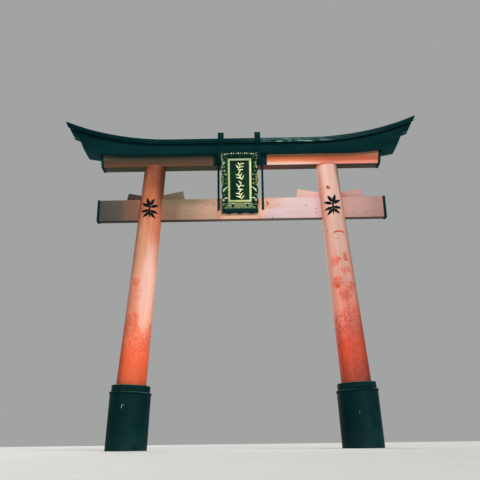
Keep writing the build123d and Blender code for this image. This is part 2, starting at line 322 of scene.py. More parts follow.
class Finish:
    """One finish: its slot, its shader, and the colour that its coats have built up so far."""

    def __init__(self, name, slot="", roughness=0.6, metallic=0.0, gloss=0.5):
        self.slot = slot
        self.material = bpy.data.materials.new(name)
        self.material.use_nodes = True
        self.shader = self.material.node_tree.nodes["Principled BSDF"]
        looks = {"Roughness": roughness, "Metallic": metallic, "Specular IOR Level": gloss}
        for socket, value in looks.items():
            self.wire(self.shader.inputs[socket], value)
        self.place = self.node("TexCoord", {}).outputs["Object"]

    def node(self, kind, inputs, **settings):
        made = self.material.node_tree.nodes.new("ShaderNode" + kind)
        for key, value in settings.items():
            setattr(made, key, value)
        for socket, value in inputs.items():
            self.wire(made.inputs[socket], value)
        return made

    def wire(self, socket, value):
        """Links a socket, or sets it; a colour is given as it looks on a screen."""
        if isinstance(value, Amount):
            value = value.socket
        if isinstance(value, bpy.types.NodeSocket):
            self.material.node_tree.links.new(value, socket)
        else:
            socket.default_value = tone(value) if socket.type == "RGBA" else value

    def amount(self, kind, inputs, output, **settings):
        """What a new node gives, as a number that varies over the surface."""
        return Amount(self, self.node(kind, inputs, **settings).outputs[output])

    def turned(self, foot, angle):
        """Measures from a leaning timber's foot, with Z along it."""
        turn = Matrix.Rotation(angle, 4, "Y")
        inputs = {"Vector": self.place, "Rotation": (0, angle, 0), "Location": turn @ -Vector(foot)}
        self.place = self.node("Mapping", inputs).outputs["Vector"]

    def axes(self):
        """Places across, in depth and up."""
        return [Amount(self, socket) for socket in self.node("SeparateXYZ", {"Vector": self.place}).outputs]

    def lift(self):
        """How high the carving stands, as the piece's mesh says."""
        return self.amount("Attribute", {}, "Fac", attribute_name="lift")

    def stretched(self, stretch, shift):
        inputs = {"Vector": self.place, "Scale": stretch, "Location": (shift, 2 * shift, 3 * shift)}
        return self.node("Mapping", inputs).outputs["Vector"]

    def cloud(self, stretch, detail=4.0, roughness=0.55, shift=0.0):
        """Noise from 0 to 1; stretch gives its cycles a metre along each axis."""
        vector = self.stretched(stretch, shift)
        inputs = {"Vector": vector, "Scale": 1.0, "Detail": detail, "Roughness": roughness}
        return self.amount("TexNoise", inputs, "Fac")

    def spots(self, stretch, shift=0.0):
        """Distance to the nearest of some scattered points."""
        inputs = {"Vector": self.stretched(stretch, shift), "Scale": 1.0}
        return self.amount("TexVoronoi", inputs, "Distance")

    def near(self, point, radius, core=0.5):
        """1 near a point on the object, 0 past a radius, even within its core."""
        distance = self.amount("VectorMath", {0: self.place, 1: point}, "Value", operation="DISTANCE")
        return distance.ramp(radius, radius * core)

    def mix(self, amount, under, over):
        """Shows over where amount is 1 and under where it is 0."""
        return self.node("Mix", {0: amount, 6: under, 7: over}, data_type="RGBA").outputs[2]

    def blend(self, value, *stops):
        """Passes through colours given as (value, colour)."""
        colour = stops[0][1]
        for (start, _), (end, over) in zip(stops, stops[1:]):
            colour = self.mix(value.ramp(start, end), colour, over)
        return colour

    def coat(self, colour, amount):
        """Lays a coat over the colour so far, covering where amount is 1."""
        self.colour = self.mix(amount, self.colour, colour)

    def darken(self, strength, amount):
        """Darkens the colour so far by up to strength where amount is 1."""
        self.coat((0, 0, 0), amount * strength)

    def done(self, relief=None, depth=0.001, roughness=None):
        """Wires the colour, a bump as deep as the relief and, where it varies, the roughness."""
        self.wire(self.shader.inputs["Base Color"], self.colour)
        if roughness:
            self.wire(self.shader.inputs["Roughness"], roughness)
        if relief:
            bump = self.node("Bump", {"Height": relief, "Distance": depth})
            self.wire(self.shader.inputs["Normal"], bump.outputs["Normal"])
        return self


def pillar_paint(side):
    """Orange-red near the foot, dabbed with red at reach, and faded in streaks to salmon pink above; some
    streaks are painted highlights, and painted shade darkens its sides and the left pillar's head.
    """
    wood = Finish(f"{labels[side]}_pillar_paint", "pillar_paint", roughness=0.65, gloss=0.3)
    wood.turned((side * foot_spread / 2, 0, 0), side * lean)
    across, depth, height = wood.axes()
    broad = wood.cloud((1.6, 1.6, 0.8), shift=side)
    streaks = wood.cloud((14, 14, 0.5), detail=3, shift=1.7 * side)
    grain = wood.cloud((34, 34, 1.1), detail=5, shift=side)
    fine = wood.cloud((70, 70, 40), detail=5, roughness=0.7, shift=side)
    clumps = wood.cloud((6, 6, 5), detail=6, roughness=0.66, shift=2.3 * side)
    veins = wood.cloud((26, 26, 16), detail=7, roughness=0.8, shift=4.1 * side)
    level = height + 0.6 * broad
    # Paint by height; the dark head of the left pillar is painted shade
    wood.colour = wood.blend(level, *fading_and_shade[side])
    faded = level.ramp(1.7, 2.5)
    if side < 0:
        faded *= height.ramp(4.3, 3.6)
    wood.coat((226, 184, 170), faded * streaks.ramp(0.45, 0.7) * 0.3)
    wood.darken(0.12, streaks.ramp(0.5, 0.33))
    wander = across + 0.14 * wood.cloud((7, 7, 2.2), detail=6, roughness=0.7, shift=5 + side)
    # Streaks of paint, with painted highlights and painted shade among them
    for reach, wide, middle, tall, share, tint in tints[side]:
        wood.coat(tint, wander.band(reach + 0.07, wide, 0.1) * height.band(middle, tall, 0.2) * share)
    cover = height.ramp(*red_reach[side]).spread(-1.02, 0.25) + 1.5 * clumps
    for along, angle, radius, share in red_patches[side]:
        cover += share * wood.near(on_shaft(along, angle), 1.3 * radius, 0.1)
    blush = (cover + 2.4 * veins).ramp(1.45, 2.05)
    broken = height.ramp(*whole_red[side])
    pink = veins.ramp(0.6, 0.4) * broken.spread(0.15, 0.9)
    wood.coat(wood.mix(pink, wood.blend(height, *red_coats[side]), pink_coats[side]), blush * 0.84)
    specks = cover - 1.4 * wood.spots((50, 50, 40), shift=side) + fine
    wood.darken(speck_depth[side], specks.ramp(0.5, 0.85) * broken.spread(0.3, 1.0))
    wood.darken(0.14, grain.ramp(0.56, 0.74))
    wood.darken(0.16, fine.ramp(0.58, 0.72))
    trickle = wood.cloud((44, 44, 5), detail=5, roughness=0.66, shift=9 + side)
    wood.darken(0.22, trickle.ramp(0.6, 0.7) * cover.ramp(0.2, 0.8))
    for along, angle, radius, ink in pillar_dots[side]:
        wood.coat(ink, wood.near(on_shaft(along, angle), radius))
    wood.darken(0.3, (height + 0.3 * broad).ramp(1.22, 1.05))
    # Under the lintel: fresher paint, and the lintel's painted shadow, darkest on the left
    wood.coat(rims[side], height.ramp(axis_length - 0.045, axis_length - 0.03) * 0.85)
    # Painted shade down the pillars' sides and near their heads
    for start, end, low, high, strength in painted_side_shade[side]:
        wood.darken(strength, across.ramp(start, end) * height.ramp(low, high))
    if side > 0:
        off = across - 0.02
        arch = (height + 3.0 * off * off).band(3.44, 0.02) * depth.ramp(-0.1, -0.14)
        wood.coat((170, 58, 40), arch * across.band(0.028, 0.12))
    return wood.done(grain + 0.4 * fine - 0.3 * blush, depth=0.002, roughness=grain.spread(0.55, 0.8))


def beam_paint():
    """Sawn beam: fresher orange behind the plaque and chalky pink on the right, with painted shade darkening
    it to brownish beige and grey towards the left end, a little towards the right end, on the left wedges and
    along its lower edge.
    """
    wood = Finish("beam_paint", "beam_paint", roughness=0.7, gloss=0.3)
    along, _, height = wood.axes()
    over = height - tie_high.z
    broad = wood.cloud((0.9, 2, 2.4))
    grain = wood.cloud((1.4, 40, 46), detail=5)
    fine = wood.cloud((30, 60, 60), detail=5, roughness=0.7)
    place = along + 0.3 * broad
    # Left of the joint: painted shade darkens it towards the left end
    wood.colour = wood.blend(
        place, (-2.4, (57, 60, 57)), (-2.0, (71, 65, 57)), (-1.8, (106, 75, 58)), (-1.0, (118, 91, 73)),
        (-0.8, (143, 115, 93)), (-0.42, (172, 136, 113)))
    olive = over.ramp(-0.15, -0.04) * along.ramp(-0.2, -0.9) * along.ramp(-1.75, -1.35)
    wood.coat((92, 84, 62), olive * 0.7)
    # Fresher paint right of the joint, chalky pink further right, darkening towards the right end as painted
    # shade
    fresh = wood.blend(
        place, (0.5, (218, 172, 146)), (0.68, (204, 178, 180)), (1.5, (200, 170, 170)),
        (2.1, (170, 131, 123)), (2.55, (150, 113, 106)))
    warm = over.ramp(-0.21, -0.195) * over.ramp(-0.03, -0.01).spread(0.75, 1.0) * along.ramp(0.85, 0.45)
    wood.coat(wood.mix(warm, fresh, (206, 150, 122)), along.ramp(joint_x - 0.001, joint_x + 0.001))
    for middle, half, share in ((-1.57, 0.32, 0.25), (1.57, 0.34, 0.4), (-0.365, 0.045, 0.45)):
        wood.coat((176, 88, 66), along.band(middle, half) * share)
    wood.coat((188, 84, 66), along.band(1.56, 0.24) * over.ramp(-0.03, 0) * 0.5)
    wood.coat((196, 66, 50), along.band(1.56, 0.34) * over.band(0.006, 0.016) * 0.7)
    wedges = over.ramp(0, 0.01)
    wood.coat((212, 152, 132), wedges * along.band(1.2, 0.5) * 0.5)
    # Painted shade on the wedges at the left pillar
    wood.darken(0.25, wedges * along.ramp(-0.5, -0.8))
    wood.darken(0.75, wedges * along.ramp(-1.5, -1.65))
    # Painted shade along the lower edge
    wood.darken(0.75, height.ramp(tie_low.z + 0.009, tie_low.z + 0.001))
    wood.darken(0.22, grain.ramp(0.54, 0.75))
    wood.darken(0.12, fine.ramp(0.6, 0.75))
    wood.darken(0.12, broad.ramp(0.5, 0.7))
    for reach, level, radius in knots:
        wood.coat((104, 62, 50), wood.near((reach, tie_low.y, level), radius, 0.2) * fine.ramp(0.3, 0.5))
    return wood.done(grain + 0.4 * fine, depth=0.0015)


def lintel_paint():
    """Orange paint: dark brown on the left as painted shade and lit orange on the right as painted sunlight,
    darker towards the top, chalky pink along the lower edge partly as painted light, and darkened underneath
    as painted shade.
    """
    wood = Finish("lintel_paint", "pillar_paint", roughness=0.65, gloss=0.3)
    along, _, height = wood.axes()
    broad = wood.cloud((1.0, 2, 3))
    grain = wood.cloud((1.2, 36, 44), detail=5)
    place = along + 0.3 * broad
    up = height - (head_height + 0.015) + 0.03 * broad
    # Painted shade on the left (shaded) and painted sunlight on the rest (sunned, and reddish at the right
    # end), each darker towards the top
    shaded = wood.blend(
        up, (0.02, (86, 54, 31)), (0.06, (78, 49, 29)), (0.1, (64, 45, 27)), (0.135, (58, 48, 29)),
        (0.18, (62, 62, 48)))
    sunned = wood.blend(
        up, (0.02, (221, 183, 171)), (0.045, (218, 166, 146)), (0.065, (214, 120, 80)), (0.11, (186, 88, 44)),
        (0.15, (162, 88, 52)), (0.19, (172, 126, 92)))
    reddish = wood.blend(
        up, (0.02, (209, 132, 115)), (0.05, (205, 116, 90)), (0.085, (172, 71, 39)), (0.14, (154, 74, 42)),
        (0.19, (164, 114, 84)))
    wood.colour = wood.mix(place.ramp(-0.3, 0.6), shaded, sunned)
    wood.coat(reddish, place.ramp(1.1, 1.9))
    # Painted shade on the underside
    beneath = wood.blend(place, (-0.3, (48, 50, 24)), (0.6, (97, 56, 38)), (1.9, (54, 45, 26)))
    over_foot = height - head_height
    wood.coat(beneath, over_foot.ramp(0.004, 0) * over_foot.ramp(-0.02, -0.01))
    wood.darken(0.22, grain.ramp(0.56, 0.74))
    return wood.done(grain, depth=0.0015)


def black_paint():
    """Weathered black, painted paler under the roof to lift its shade, and lighter on the right along the
    front edge and its batten in painted highlights with worn streaks.
    """
    wood = Finish("black_paint", "black_paint", roughness=0.85, gloss=0.03)
    across, depth, height = wood.axes()
    broad = wood.cloud((0.8, 3, 3), detail=5)
    grain = wood.cloud((1.5, 44, 50), detail=6, roughness=0.62)
    flakes = wood.cloud((7, 14, 14), detail=9, roughness=0.75, shift=4)
    wood.colour = wood.mix(broad.ramp(0.35, 0.7), (1, 31, 33), (5, 42, 44))
    wood.coat((52, 84, 80), flakes.ramp(0.6, 0.68) * 0.3)
    past = (abs(across) - eave_straight / 2).math("MAXIMUM", 0.0)
    below = 0.5 / eave_radius * past * past + eave_height - height
    off_middle = abs(depth)
    # Painted light on the soffit under the roof boards, lifting its shade
    soffit = off_middle.ramp(lintel_half, lintel_half + 0.003)
    soffit *= off_middle.ramp(roof_half - 0.036, roof_half - 0.044)
    wood.coat((64, 126, 130), soffit * below.ramp(0.0, 0.03))
    # Painted light on the face just under the roof, lifting its shade
    sheltered = below.ramp(0.14, 0.03) * off_middle.ramp(lintel_half + 0.002, lintel_half)
    wood.coat((12, 54, 58), sheltered * 0.6)
    # Painted light on the lintel's underside
    underside = off_middle.ramp(lintel_half, lintel_half - 0.006) * below.ramp(0.15, 0.2)
    wood.coat((14, 58, 62), underside)
    wear_and_sheen = wood.cloud((4.5, 20, 30), detail=3, shift=2)
    # Painted highlights with worn streaks on the right, along the front edge and its batten
    lit = across.ramp(-0.2, 0.7) * across.ramp(2.9, 1.9)
    edge = lit * depth.ramp(-roof_half + 0.012, -roof_half + 0.002)
    wood.coat((30, 58, 54), edge * grain.spread(0.2, 1.2))
    wood.coat((50, 82, 80), edge * grain.ramp(0.35, 0.55) * across.band(0.95, 0.9))
    batten_face = -roof_half + batten_set_back
    lit_batten = lit * depth.ramp(batten_face + 0.003, batten_face)
    lit_batten *= below.ramp(roof_thickness, roof_thickness + 0.003)
    wood.coat((26, 62, 62), lit_batten * 0.8)
    wood.coat((124, 152, 152), lit_batten * wear_and_sheen.ramp(0.46, 0.58) * across.band(0.95, 0.75))
    wood.coat((116, 138, 130), edge * wear_and_sheen.ramp(0.54, 0.62) * across.band(1.0, 0.9) * 0.7)
    return wood.done(grain + 0.5 * flakes, depth=0.002, roughness=grain.spread(0.65, 0.9))


def wrap_black(side):
    """Black sheet round a foot, with dents, dust towards the ground, rubbed edges with painted highlights
    along them and a few small pale spots.
    """
    sheet = Finish(f"{labels[side]}_wrap_black", "wrap_black", roughness=0.5, gloss=0.04)
    sheet.turned((side * wrap_foot, 0, 0), side * wrap_lean)
    across, depth, up = sheet.axes()
    dents = sheet.cloud((2.6, 2.6, 2.2), detail=3)
    scuffs = sheet.cloud((12, 12, 9), detail=9, roughness=0.76, shift=3)
    sheet.colour = sheet.mix(dents.ramp(0.4, 0.7), (1, 31, 32), (4, 40, 41))
    sheet.coat((70, 92, 86), up.ramp(0.4, 0.0) * scuffs.ramp(0.35, 0.7) * 0.1)
    # Rubbed edges, with painted highlights along them
    for edge, middle, half, share in rubbed_and_lit_edges[side]:
        rubbed_and_lit = up.band(edge, 0.006) * across.band(middle, half)
        sheet.coat((88, 122, 116), rubbed_and_lit * scuffs.ramp(0.3, 0.56) * share)
    for reach, level, wide, tall, share in pale_spots[side]:
        pale_spot = across.band(reach, wide) * up.band(level, tall)
        sheet.coat((140, 168, 164), pale_spot * depth.ramp(-0.2, -0.25) * share)
    return sheet.done(dents + 0.12 * scuffs, depth=0.006, roughness=scuffs.spread(0.38, 0.65))


def iron_black():
    """Painted strip iron, pitted and a little greyer in patches."""
    iron = Finish("iron_black", "iron_black", gloss=0.02)
    pitted = iron.cloud((40, 40, 40), detail=7, roughness=0.7)
    broad = iron.cloud((5, 5, 3))
    iron.colour = iron.mix(broad.ramp(0.4, 0.7), (2, 35, 37), (7, 45, 46))
    iron.coat((30, 52, 50), pitted.ramp(0.62, 0.72) * 0.3)
    return iron.done(pitted, depth=0.0008, roughness=pitted.spread(0.4, 0.7))


def carved_green(name, gilding, bright):
    """Dark green lacquer, with worn gilding on what the carving lifts."""
    lacquer = Finish(name, "plaque_green", gloss=0.06)
    worn = lacquer.cloud((60, 60, 60), detail=6, roughness=0.7)
    broad = lacquer.cloud((9, 9, 9), detail=3)
    lacquer.colour = lacquer.mix(worn.ramp(0.4, 0.7), (2, 36, 26), (14, 58, 30))
    gilded = (lacquer.lift() + 0.7 * worn + 0.4 * broad).ramp(0.95, 1.35)
    lacquer.coat(lacquer.mix(broad.ramp(0.46, 0.62), gilding, bright), gilded)
    return lacquer.done(worn, depth=0.0008)


def valance_teal():
    """Dark teal of the scalloped board, a little greener on its scallops."""
    teal = Finish("valance_teal", "plaque_green", gloss=0.05)
    worn = teal.cloud((60, 60, 60), detail=6, roughness=0.7)
    teal.colour = teal.mix(worn.ramp(0.4, 0.7), (0, 34, 38), (2, 44, 44))
    teal.coat((40, 84, 60), (teal.lift() + 0.5 * worn).ramp(0.5, 0.9))
    return teal.done(worn, depth=0.0008)


def olive_board():
    """Olive-grey lower border, paler in the middle as painted light and darker green towards its mitres, with
    the lacquer left in the hollows.
    """
    board = Finish("olive_board", "plaque_green", gloss=0.08)
    worn = board.cloud((50, 50, 50), detail=6, roughness=0.7)
    across, _, up = board.axes()
    # Painted light: paler olive in the middle of the border
    lit = (across.band(plaque_u, 0.28) + 0.8 * worn).ramp(0.45, 1.2)
    board.colour = board.mix(lit, (24, 60, 42), (112, 122, 84))
    board.coat((160, 174, 132), (board.lift() + 0.6 * worn).ramp(0.95, 1.25))
    board.coat((0, 36, 38), up.ramp(plaque_origin.z + 0.045, plaque_origin.z + 0.02))
    return board.done(worn, depth=0.0008)


def panel_lacquer():
    """Near-black lacquer, bluish on the left and with a painted greener sheen low on the right, brushed up
    and down.
    """
    lacquer = Finish("panel_lacquer", "plaque_green", roughness=0.55, gloss=0.04)
    across, _, up = lacquer.axes()
    grain = lacquer.cloud((30, 30, 1.6), detail=5)
    lacquer.colour = lacquer.mix(grain.ramp(0.4, 0.7), (4, 38, 31), (10, 46, 36))
    # Painted sheen: greener low on the right
    lacquer.coat((22, 54, 33), across.ramp(plaque_u - 0.02, plaque_u + 0.14) * up.ramp(4.66, 4.34) * 0.8)
    return lacquer.done(grain, depth=0.0004, roughness=grain.spread(0.45, 0.65))


def moulding_gilt():
    """Gilding of the raised frame: greyer along the top and dull on the left in painted shade, and brighter
    on the right in painted light.
    """
    leaf = Finish("moulding_gilt", "gilt", roughness=0.5, metallic=0.2)
    across, _, up = leaf.axes()
    worn = leaf.cloud((26, 26, 26), detail=7, roughness=0.65)
    # Painted light and shade: duller on the left, brighter on the right, greyer along the top
    leaf.colour = leaf.blend(across, (plaque_u - 0.19, (164, 178, 110)), (plaque_u, (182, 190, 124)),
                             (plaque_u + 0.19, (204, 214, 154)))
    leaf.coat((156, 168, 126), up.ramp(4.73, 4.75))
    leaf.darken(0.25, worn.ramp(0.52, 0.38))
    return leaf.done(worn, depth=0.0006, roughness=worn.spread(0.4, 0.65))


def gilt(name, bright, dull, slot="gilt"):
    """Pale old gilding with darker hollows."""
    leaf = Finish(name, slot, roughness=0.45, metallic=0.15)
    worn = leaf.cloud((30, 30, 30), detail=7, roughness=0.65)
    leaf.colour = leaf.mix(worn.ramp(0.38, 0.62), dull, bright)
    return leaf.done(worn, depth=0.0006, roughness=worn.spread(0.35, 0.6))


def brush_black():
    """The painter's black of the leaves on the pillars."""
    ink = Finish("brush_black", "black_paint", gloss=0.05)
    streaks = ink.cloud((90, 90, 14))
    ink.colour = ink.mix(streaks.ramp(0.45, 0.75), (3, 16, 18), (12, 26, 27))
    return ink.done(streaks, depth=0.0004)


# Pillars
pillar_sides = 96
pillar_rings = 110
unevenness = 0.008
check_width = 0.005
check_depth = 0.012
# Drying cracks: degrees round the pillar from straight ahead, and from and to height
checks = {
    -1: [(-67.5, 1.2, 2.4), (60, 3.2, 4.0), (120, 1.5, 2.9), (-165, 2.0, 3.5)],
    1: [(-60, 2.9, 3.8), (67.5, 1.7, 3.0), (150, 1.2, 2.6), (-120, 2.3, 3.4)],
}


def shaft_radius(along):
    return foot_radius + (head_radius - foot_radius) * along / axis_length


def round_axis(along, turn, radius):
    """A place about an upright axis, turned to the right from straight ahead."""
    return Vector((radius * sin(turn), -radius * cos(turn), along))


def on_shaft(along, angle):
    """A place on a pillar's skin, so many degrees to the right from straight ahead."""
    return round_axis(along, radians(angle), shaft_radius(along))


def on_axis(side, foot=foot_spread / 2, angle=lean):
    """Takes a shape drawn upright about the origin onto a leaning axis, a pillar's by default."""
    return Matrix.Translation((side * foot, 0, 0)) @ Matrix.Rotation(-side * angle, 4, "Y")


def turned_shaft():
    """A tapered round post along Z, too long at both ends, cut into rings."""
    bm = bmesh.new()
    bmesh.ops.create_cone(bm, cap_ends=True, segments=pillar_sides, radius1=shaft_radius(-overrun),
                          radius2=shaft_radius(axis_length + overrun), depth=axis_length + 2 * overrun,
                          matrix=Matrix.Translation((0, 0, axis_length / 2)))
    upright = [edge for edge in bm.edges if abs(edge.verts[0].co.z - edge.verts[1].co.z) > 1]
    bmesh.ops.subdivide_edges(bm, edges=upright, cuts=pillar_rings)
    return bm


def hew(bm, seed):
    """Leaves the post slightly uneven, as a hand-shaped log is."""
    for vert in bm.verts:
        turn = atan2(vert.co.y, vert.co.x)
        spot = Vector((1.6 * cos(turn), 1.6 * sin(turn) + seed, vert.co.z * 1.3))
        vert.co.xy *= 1 + unevenness * noise.noise(spot)


def open_check(bm, angle, low, high):
    """Opens a drying crack up one column of edges."""
    turn = radians(angle) - pi / 2
    step = pi / pillar_sides

    def off_column(vert):
        return abs((atan2(vert.co.y, vert.co.x) - turn + pi) % (2 * pi) - pi)

    column = [edge for edge in bm.edges
              if all(off_column(vert) < step / 2 and low < vert.co.z < high for vert in edge.verts)]
    for vert in round_off(bm, column, check_width / 2)["verts"]:
        if off_column(vert) < 0.0005:
            sink = check_depth * sin(pi * min(max((vert.co.z - low) / (high - low), 0), 1))
            vert.co.xy *= 1 - sink / hypot(vert.co.x, vert.co.y)


def make_pillar(side):
    bm = turned_shaft()
    hew(bm, 7 * side)
    for angle, low, high in checks[side]:
        open_check(bm, angle, low, high)
    bm.transform(on_axis(side))
    trim(bm, (0, 0, 0), (0, 0, -1))
    trim(bm, (0, 0, head_height), (0, 0, 1))
    piece(f"{labels[side]}_post", bm, pillar_paint(side), f"{labels[side]}_pillar")


# Foot wraps: each part's outer radius, and from and to height up the axis
wrap_parts = {
    "wrap": (wrap_radius, -0.05, lip_start),
    "lip": (lip_radius, lip_start, collar_start),
    "collar": (collar_radius, collar_start, pillar_start),
}
wrap_bore = shaft_radius(0) - 0.045
wrap_steps = 96


def sleeve(radius, low, high):
    """A round sleeve spun about Z from its section, with eased edges."""
    bm = bmesh.new()
    section = [(wrap_bore, low), (radius, low), (radius, high), (wrap_bore, high)]
    verts = [bm.verts.new((reach, 0, up)) for reach, up in section]
    edges = [bm.edges.new((verts[i], verts[(i + 1) % 4])) for i in range(4)]
    bmesh.ops.spin(bm, geom=verts + edges, cent=(0, 0, 0), axis=(0, 0, 1), angle=2 * pi, steps=wrap_steps,
                   use_merge=True)
    bmesh.ops.recalc_face_normals(bm, faces=bm.faces)
    return ease(bm, 0.006, segments=3, over=radians(60))


def make_wraps(side):
    black = wrap_black(side)
    for part, section in wrap_parts.items():
        bm = sleeve(*section)
        bm.transform(on_axis(side, wrap_foot, wrap_lean))
        if part == "wrap":
            trim(bm, (0, 0, 0), (0, 0, -1))
        piece(f"{labels[side]}_foot_{part}", bm, black, f"{labels[side]}_base_{part}")


# Beams, wedges and strut
joint_gap = 0.003
joint_inset = 0.012
joint_reach = 0.02
nail_radius = 0.009
nail_height = 0.004


def make_tie_beam():
    """The tie beam, in two lengths that meet in an open joint, and its wedges."""
    paint = beam_paint()
    bm = bmesh.new()
    add_block(bm, tie_low, (joint_x - joint_gap / 2, *tie_high.yz))
    add_block(bm, (joint_x + joint_gap / 2, *tie_low.yz), tie_high)
    inset = Vector((-joint_reach, joint_inset, joint_inset))
    add_block(bm, Vector((joint_x, *tie_low.yz)) + inset, Vector((joint_x, *tie_high.yz)) - inset)
    piece("tie_timber", ease(bm, 0.005), paint, "tie_beam")
    for wedge in ("left_outer_wedge", "left_inner_wedge", "right_inner_wedge", "right_outer_wedge"):
        dress(wedge, f"{wedge}_timber", 0.004, paint)


def make_lower_lintel():
    paint = lintel_paint()
    dress("lower_lintel", "lower_timber", 0.006, paint)
    dress("centre_strut", "strut_timber", 0.005, paint)


def make_nails(iron):
    bm = bmesh.new()
    for x, z in nail_places:
        add_dome(bm, x, tie_low.y, z, nail_radius, nail_height)
    piece("tie_beam_nails", bm, iron)


# Upper lintel and roof boards; the seams between planks are places along the eave
plank_edge = 0.004
bend_step = 0.05
seam_gap = 0.002
front_seams = (-1.95, 0.1, 2.2)
back_seams = (-2.3, -0.4, 1.6)
ridge_seam = 0.3


def along_eave(s, y, level):
    """A point s along the upswept eave, y from the plane of the pillars and level above the eave."""
    half = eave_straight / 2
    side = 1 if s > 0 else -1
    past = abs(s) - half
    if past <= 0:
        return Vector((s, y, eave_height + level))
    turn = past / eave_radius
    radius = eave_radius - level
    return Vector((side * (half + radius * sin(turn)), y, eave_height + eave_radius - radius * cos(turn)))


def add_plank(bm, s_range, y_range, thickness):
    """A straight plank with eased edges, cut into short lengths so that it can follow the eave."""
    verts = add_block(bm, (s_range[0], y_range[0], -thickness), (s_range[1], y_range[1], 0))
    round_off(bm, list({edge for vert in verts for edge in vert.link_edges}), plank_edge)
    whole = [edge for edge in bm.edges if abs(edge.verts[0].co.x - edge.verts[1].co.x) > 0.1]
    bmesh.ops.subdivide_edges(bm, edges=whole, cuts=max(2, int((s_range[1] - s_range[0]) / bend_step)))


def swept_boards(planks, lift, thickness):
    """Planks laid along the eave between (s, y) ranges, their tops so far over the boards' top."""
    bm = bmesh.new()
    for s_range, y_range in planks:
        add_plank(bm, s_range, y_range, thickness)
    geometry = bm.verts[:] + bm.edges[:] + bm.faces[:]
    bmesh.ops.bisect_plane(bm, geom=geometry, plane_co=(0, 0, 0), plane_no=(0, 1, 0))
    for vert in bm.verts:
        s, y, drop = vert.co
        vert.co = along_eave(s, y, ridge_rise - abs(y) * tan(roof_pitch) + lift + drop)
    for side in labels:
        tip = (side * roof_length / 2, 0, eave_height + tip_rise)
        trim(bm, tip, (side * cos(end_lean), 0, -sin(end_lean)))
    return bm


def make_roof(black):
    dress("upper_lintel", "upper_timber", 0.006, black)
    reach = eave_straight / 2 + eave_radius * asin(eave_run / eave_radius) + 0.15
    for label, side, seams in (("front", -1, front_seams), ("back", 1, back_seams)):
        depth = sorted((side * roof_half, side * (ridge_half - 0.01)))
        ends = [-reach, *seams, reach]
        planks = [((start + seam_gap / 2, end - seam_gap / 2), depth) for start, end in zip(ends, ends[1:])]
        bm = swept_boards(planks, 0, roof_thickness)
        piece(f"{label}_roof_planks", bm, black, f"{label}_roof_board")
        outer = roof_half - batten_set_back
        depth = sorted((side * outer, side * (outer - batten_width)))
        bm = swept_boards([((-reach, reach), depth)], -roof_thickness, batten_height)
        piece(f"{label}_eave_batten", bm, black)
    depth = (-ridge_half, ridge_half)
    halves = [((-reach, ridge_seam), depth), ((ridge_seam + seam_gap, reach), depth)]
    bm = swept_boards(halves, ridge_thickness, ridge_thickness + 0.01)
    piece("ridge_plank", bm, black, "ridge_board")


# Ironwork
rivet_radius = 0.011
rivet_height = 0.006
rivet_inset_x = 0.035
rivet_inset_z = 0.03
rivet_rows = 4


def make_ironwork(iron):
    pairs = [f"{label}_{part}" for label in labels.values()
             for part in ("hanger_bar", "hanger_strap", "tie_cap", "lintel_cap")]
    for node in (*pairs, "hanger_plate", "plaque_rest", "plaque_crossbar"):
        dress(node, f"{node}_iron", 0.0015, iron)
    bm = bmesh.new()
    run = plate_high.z - plate_low.z - 2 * rivet_inset_z
    for x in (plate_low.x + rivet_inset_x, plate_high.x - rivet_inset_x):
        for row in range(rivet_rows):
            z = plate_low.z + rivet_inset_z + row * run / (rivet_rows - 1)
            add_dome(bm, x, plate_low.y, z, rivet_radius, rivet_height)
    piece("plate_rivets", bm, iron)


# Plaque

def corners(half, low, high):
    """Corners of an upright rectangle, from the lower left round by the right."""
    return [Vector(corner) for corner in ((-half, low), (half, low), (half, high), (-half, high))]


inner_corners = corners(field_half, field_low, field_high)
outer_corners = corners(plaque_half, 0, plaque_length)
edge_wave = 0.01
edge_pitch = 0.2
carving_depth = 0.007
border_thickness = 0.02
# How much gilding is left on the rims of the lower, right, upper and left borders
rim_gilding = (0.1, 0.6, 0.2, 0.75)
# Spiral scrolls carved in the borders: place on the right half, radius and which way they turn
scrolls = [
    (0.262, 0.905, 0.036, 1), (0.266, 0.825, 0.032, -1), (0.262, 0.76, 0.028, 1), (0.24, 0.69, 0.03, -1),
    (0.238, 0.61, 0.03, 1), (0.24, 0.53, 0.032, -1), (0.262, 0.42, 0.04, 1), (0.262, 0.33, 0.034, -1),
    (0.262, 0.245, 0.034, 1), (0.262, 0.16, 0.036, -1), (0.215, 1.028, 0.034, -1), (0.14, 1.03, 0.03, 1),
    (0.072, 1.03, 0.028, -1), (0.0, 1.026, 0.028, 1), (0.19, 0.14, 0.044, 1), (0.065, 0.15, 0.04, -1),
]
# Curls that stand out of the right half: u, v, w, heading, length, width and bend; angles in degrees
curls = [
    (0.29, 0.375, 0.08, 112, 0.14, 0.016, 44), (0.268, 0.262, 0.076, 150, 0.075, 0.015, 60),
    (0.284, 0.212, 0.08, 120, 0.05, 0.014, -50), (0.078, 0.18, 0.046, 2, 0.118, 0.01, -12),
    (0.06, 0.12, 0.064, 200, 0.07, 0.009, 80), (0.284, 0.85, 0.079, 80, 0.045, 0.009, 70),
    (0.296, 0.795, 0.083, 100, 0.04, 0.01, -60),
]


def plaque_piece(name, bm, finish, *nodes):
    """A piece that was drawn in the plaque's own axes."""
    across = Vector((1, 0, 0))
    up = Vector((0, -sin(plaque_tilt), cos(plaque_tilt)))
    out = Vector((0, -cos(plaque_tilt), -sin(plaque_tilt)))
    bm.transform(Matrix.Translation(plaque_origin) @ Matrix((across, up, out)).transposed().to_4x4())
    piece(name, bm, finish, *nodes)


def scroll_lift(u, v):
    """How high the scrolls stand at a point of the borders, 0 to 1."""
    lift = 0.0
    for centre_u, centre_v, radius, turn in scrolls:
        across, up = abs(u) - centre_u, v - centre_v
        distance = hypot(across, up) / radius
        if distance < 1:
            spiral = 0.5 + 0.5 * cos(9 * distance - turn * atan2(up, across))
            lift = max(lift, spiral * (1 - distance**3))
    return lift


def ridge(value, middle, half):
    """1 at the middle, falling away to both sides as a bell does."""
    return exp(-(((value - middle) / half) ** 2))


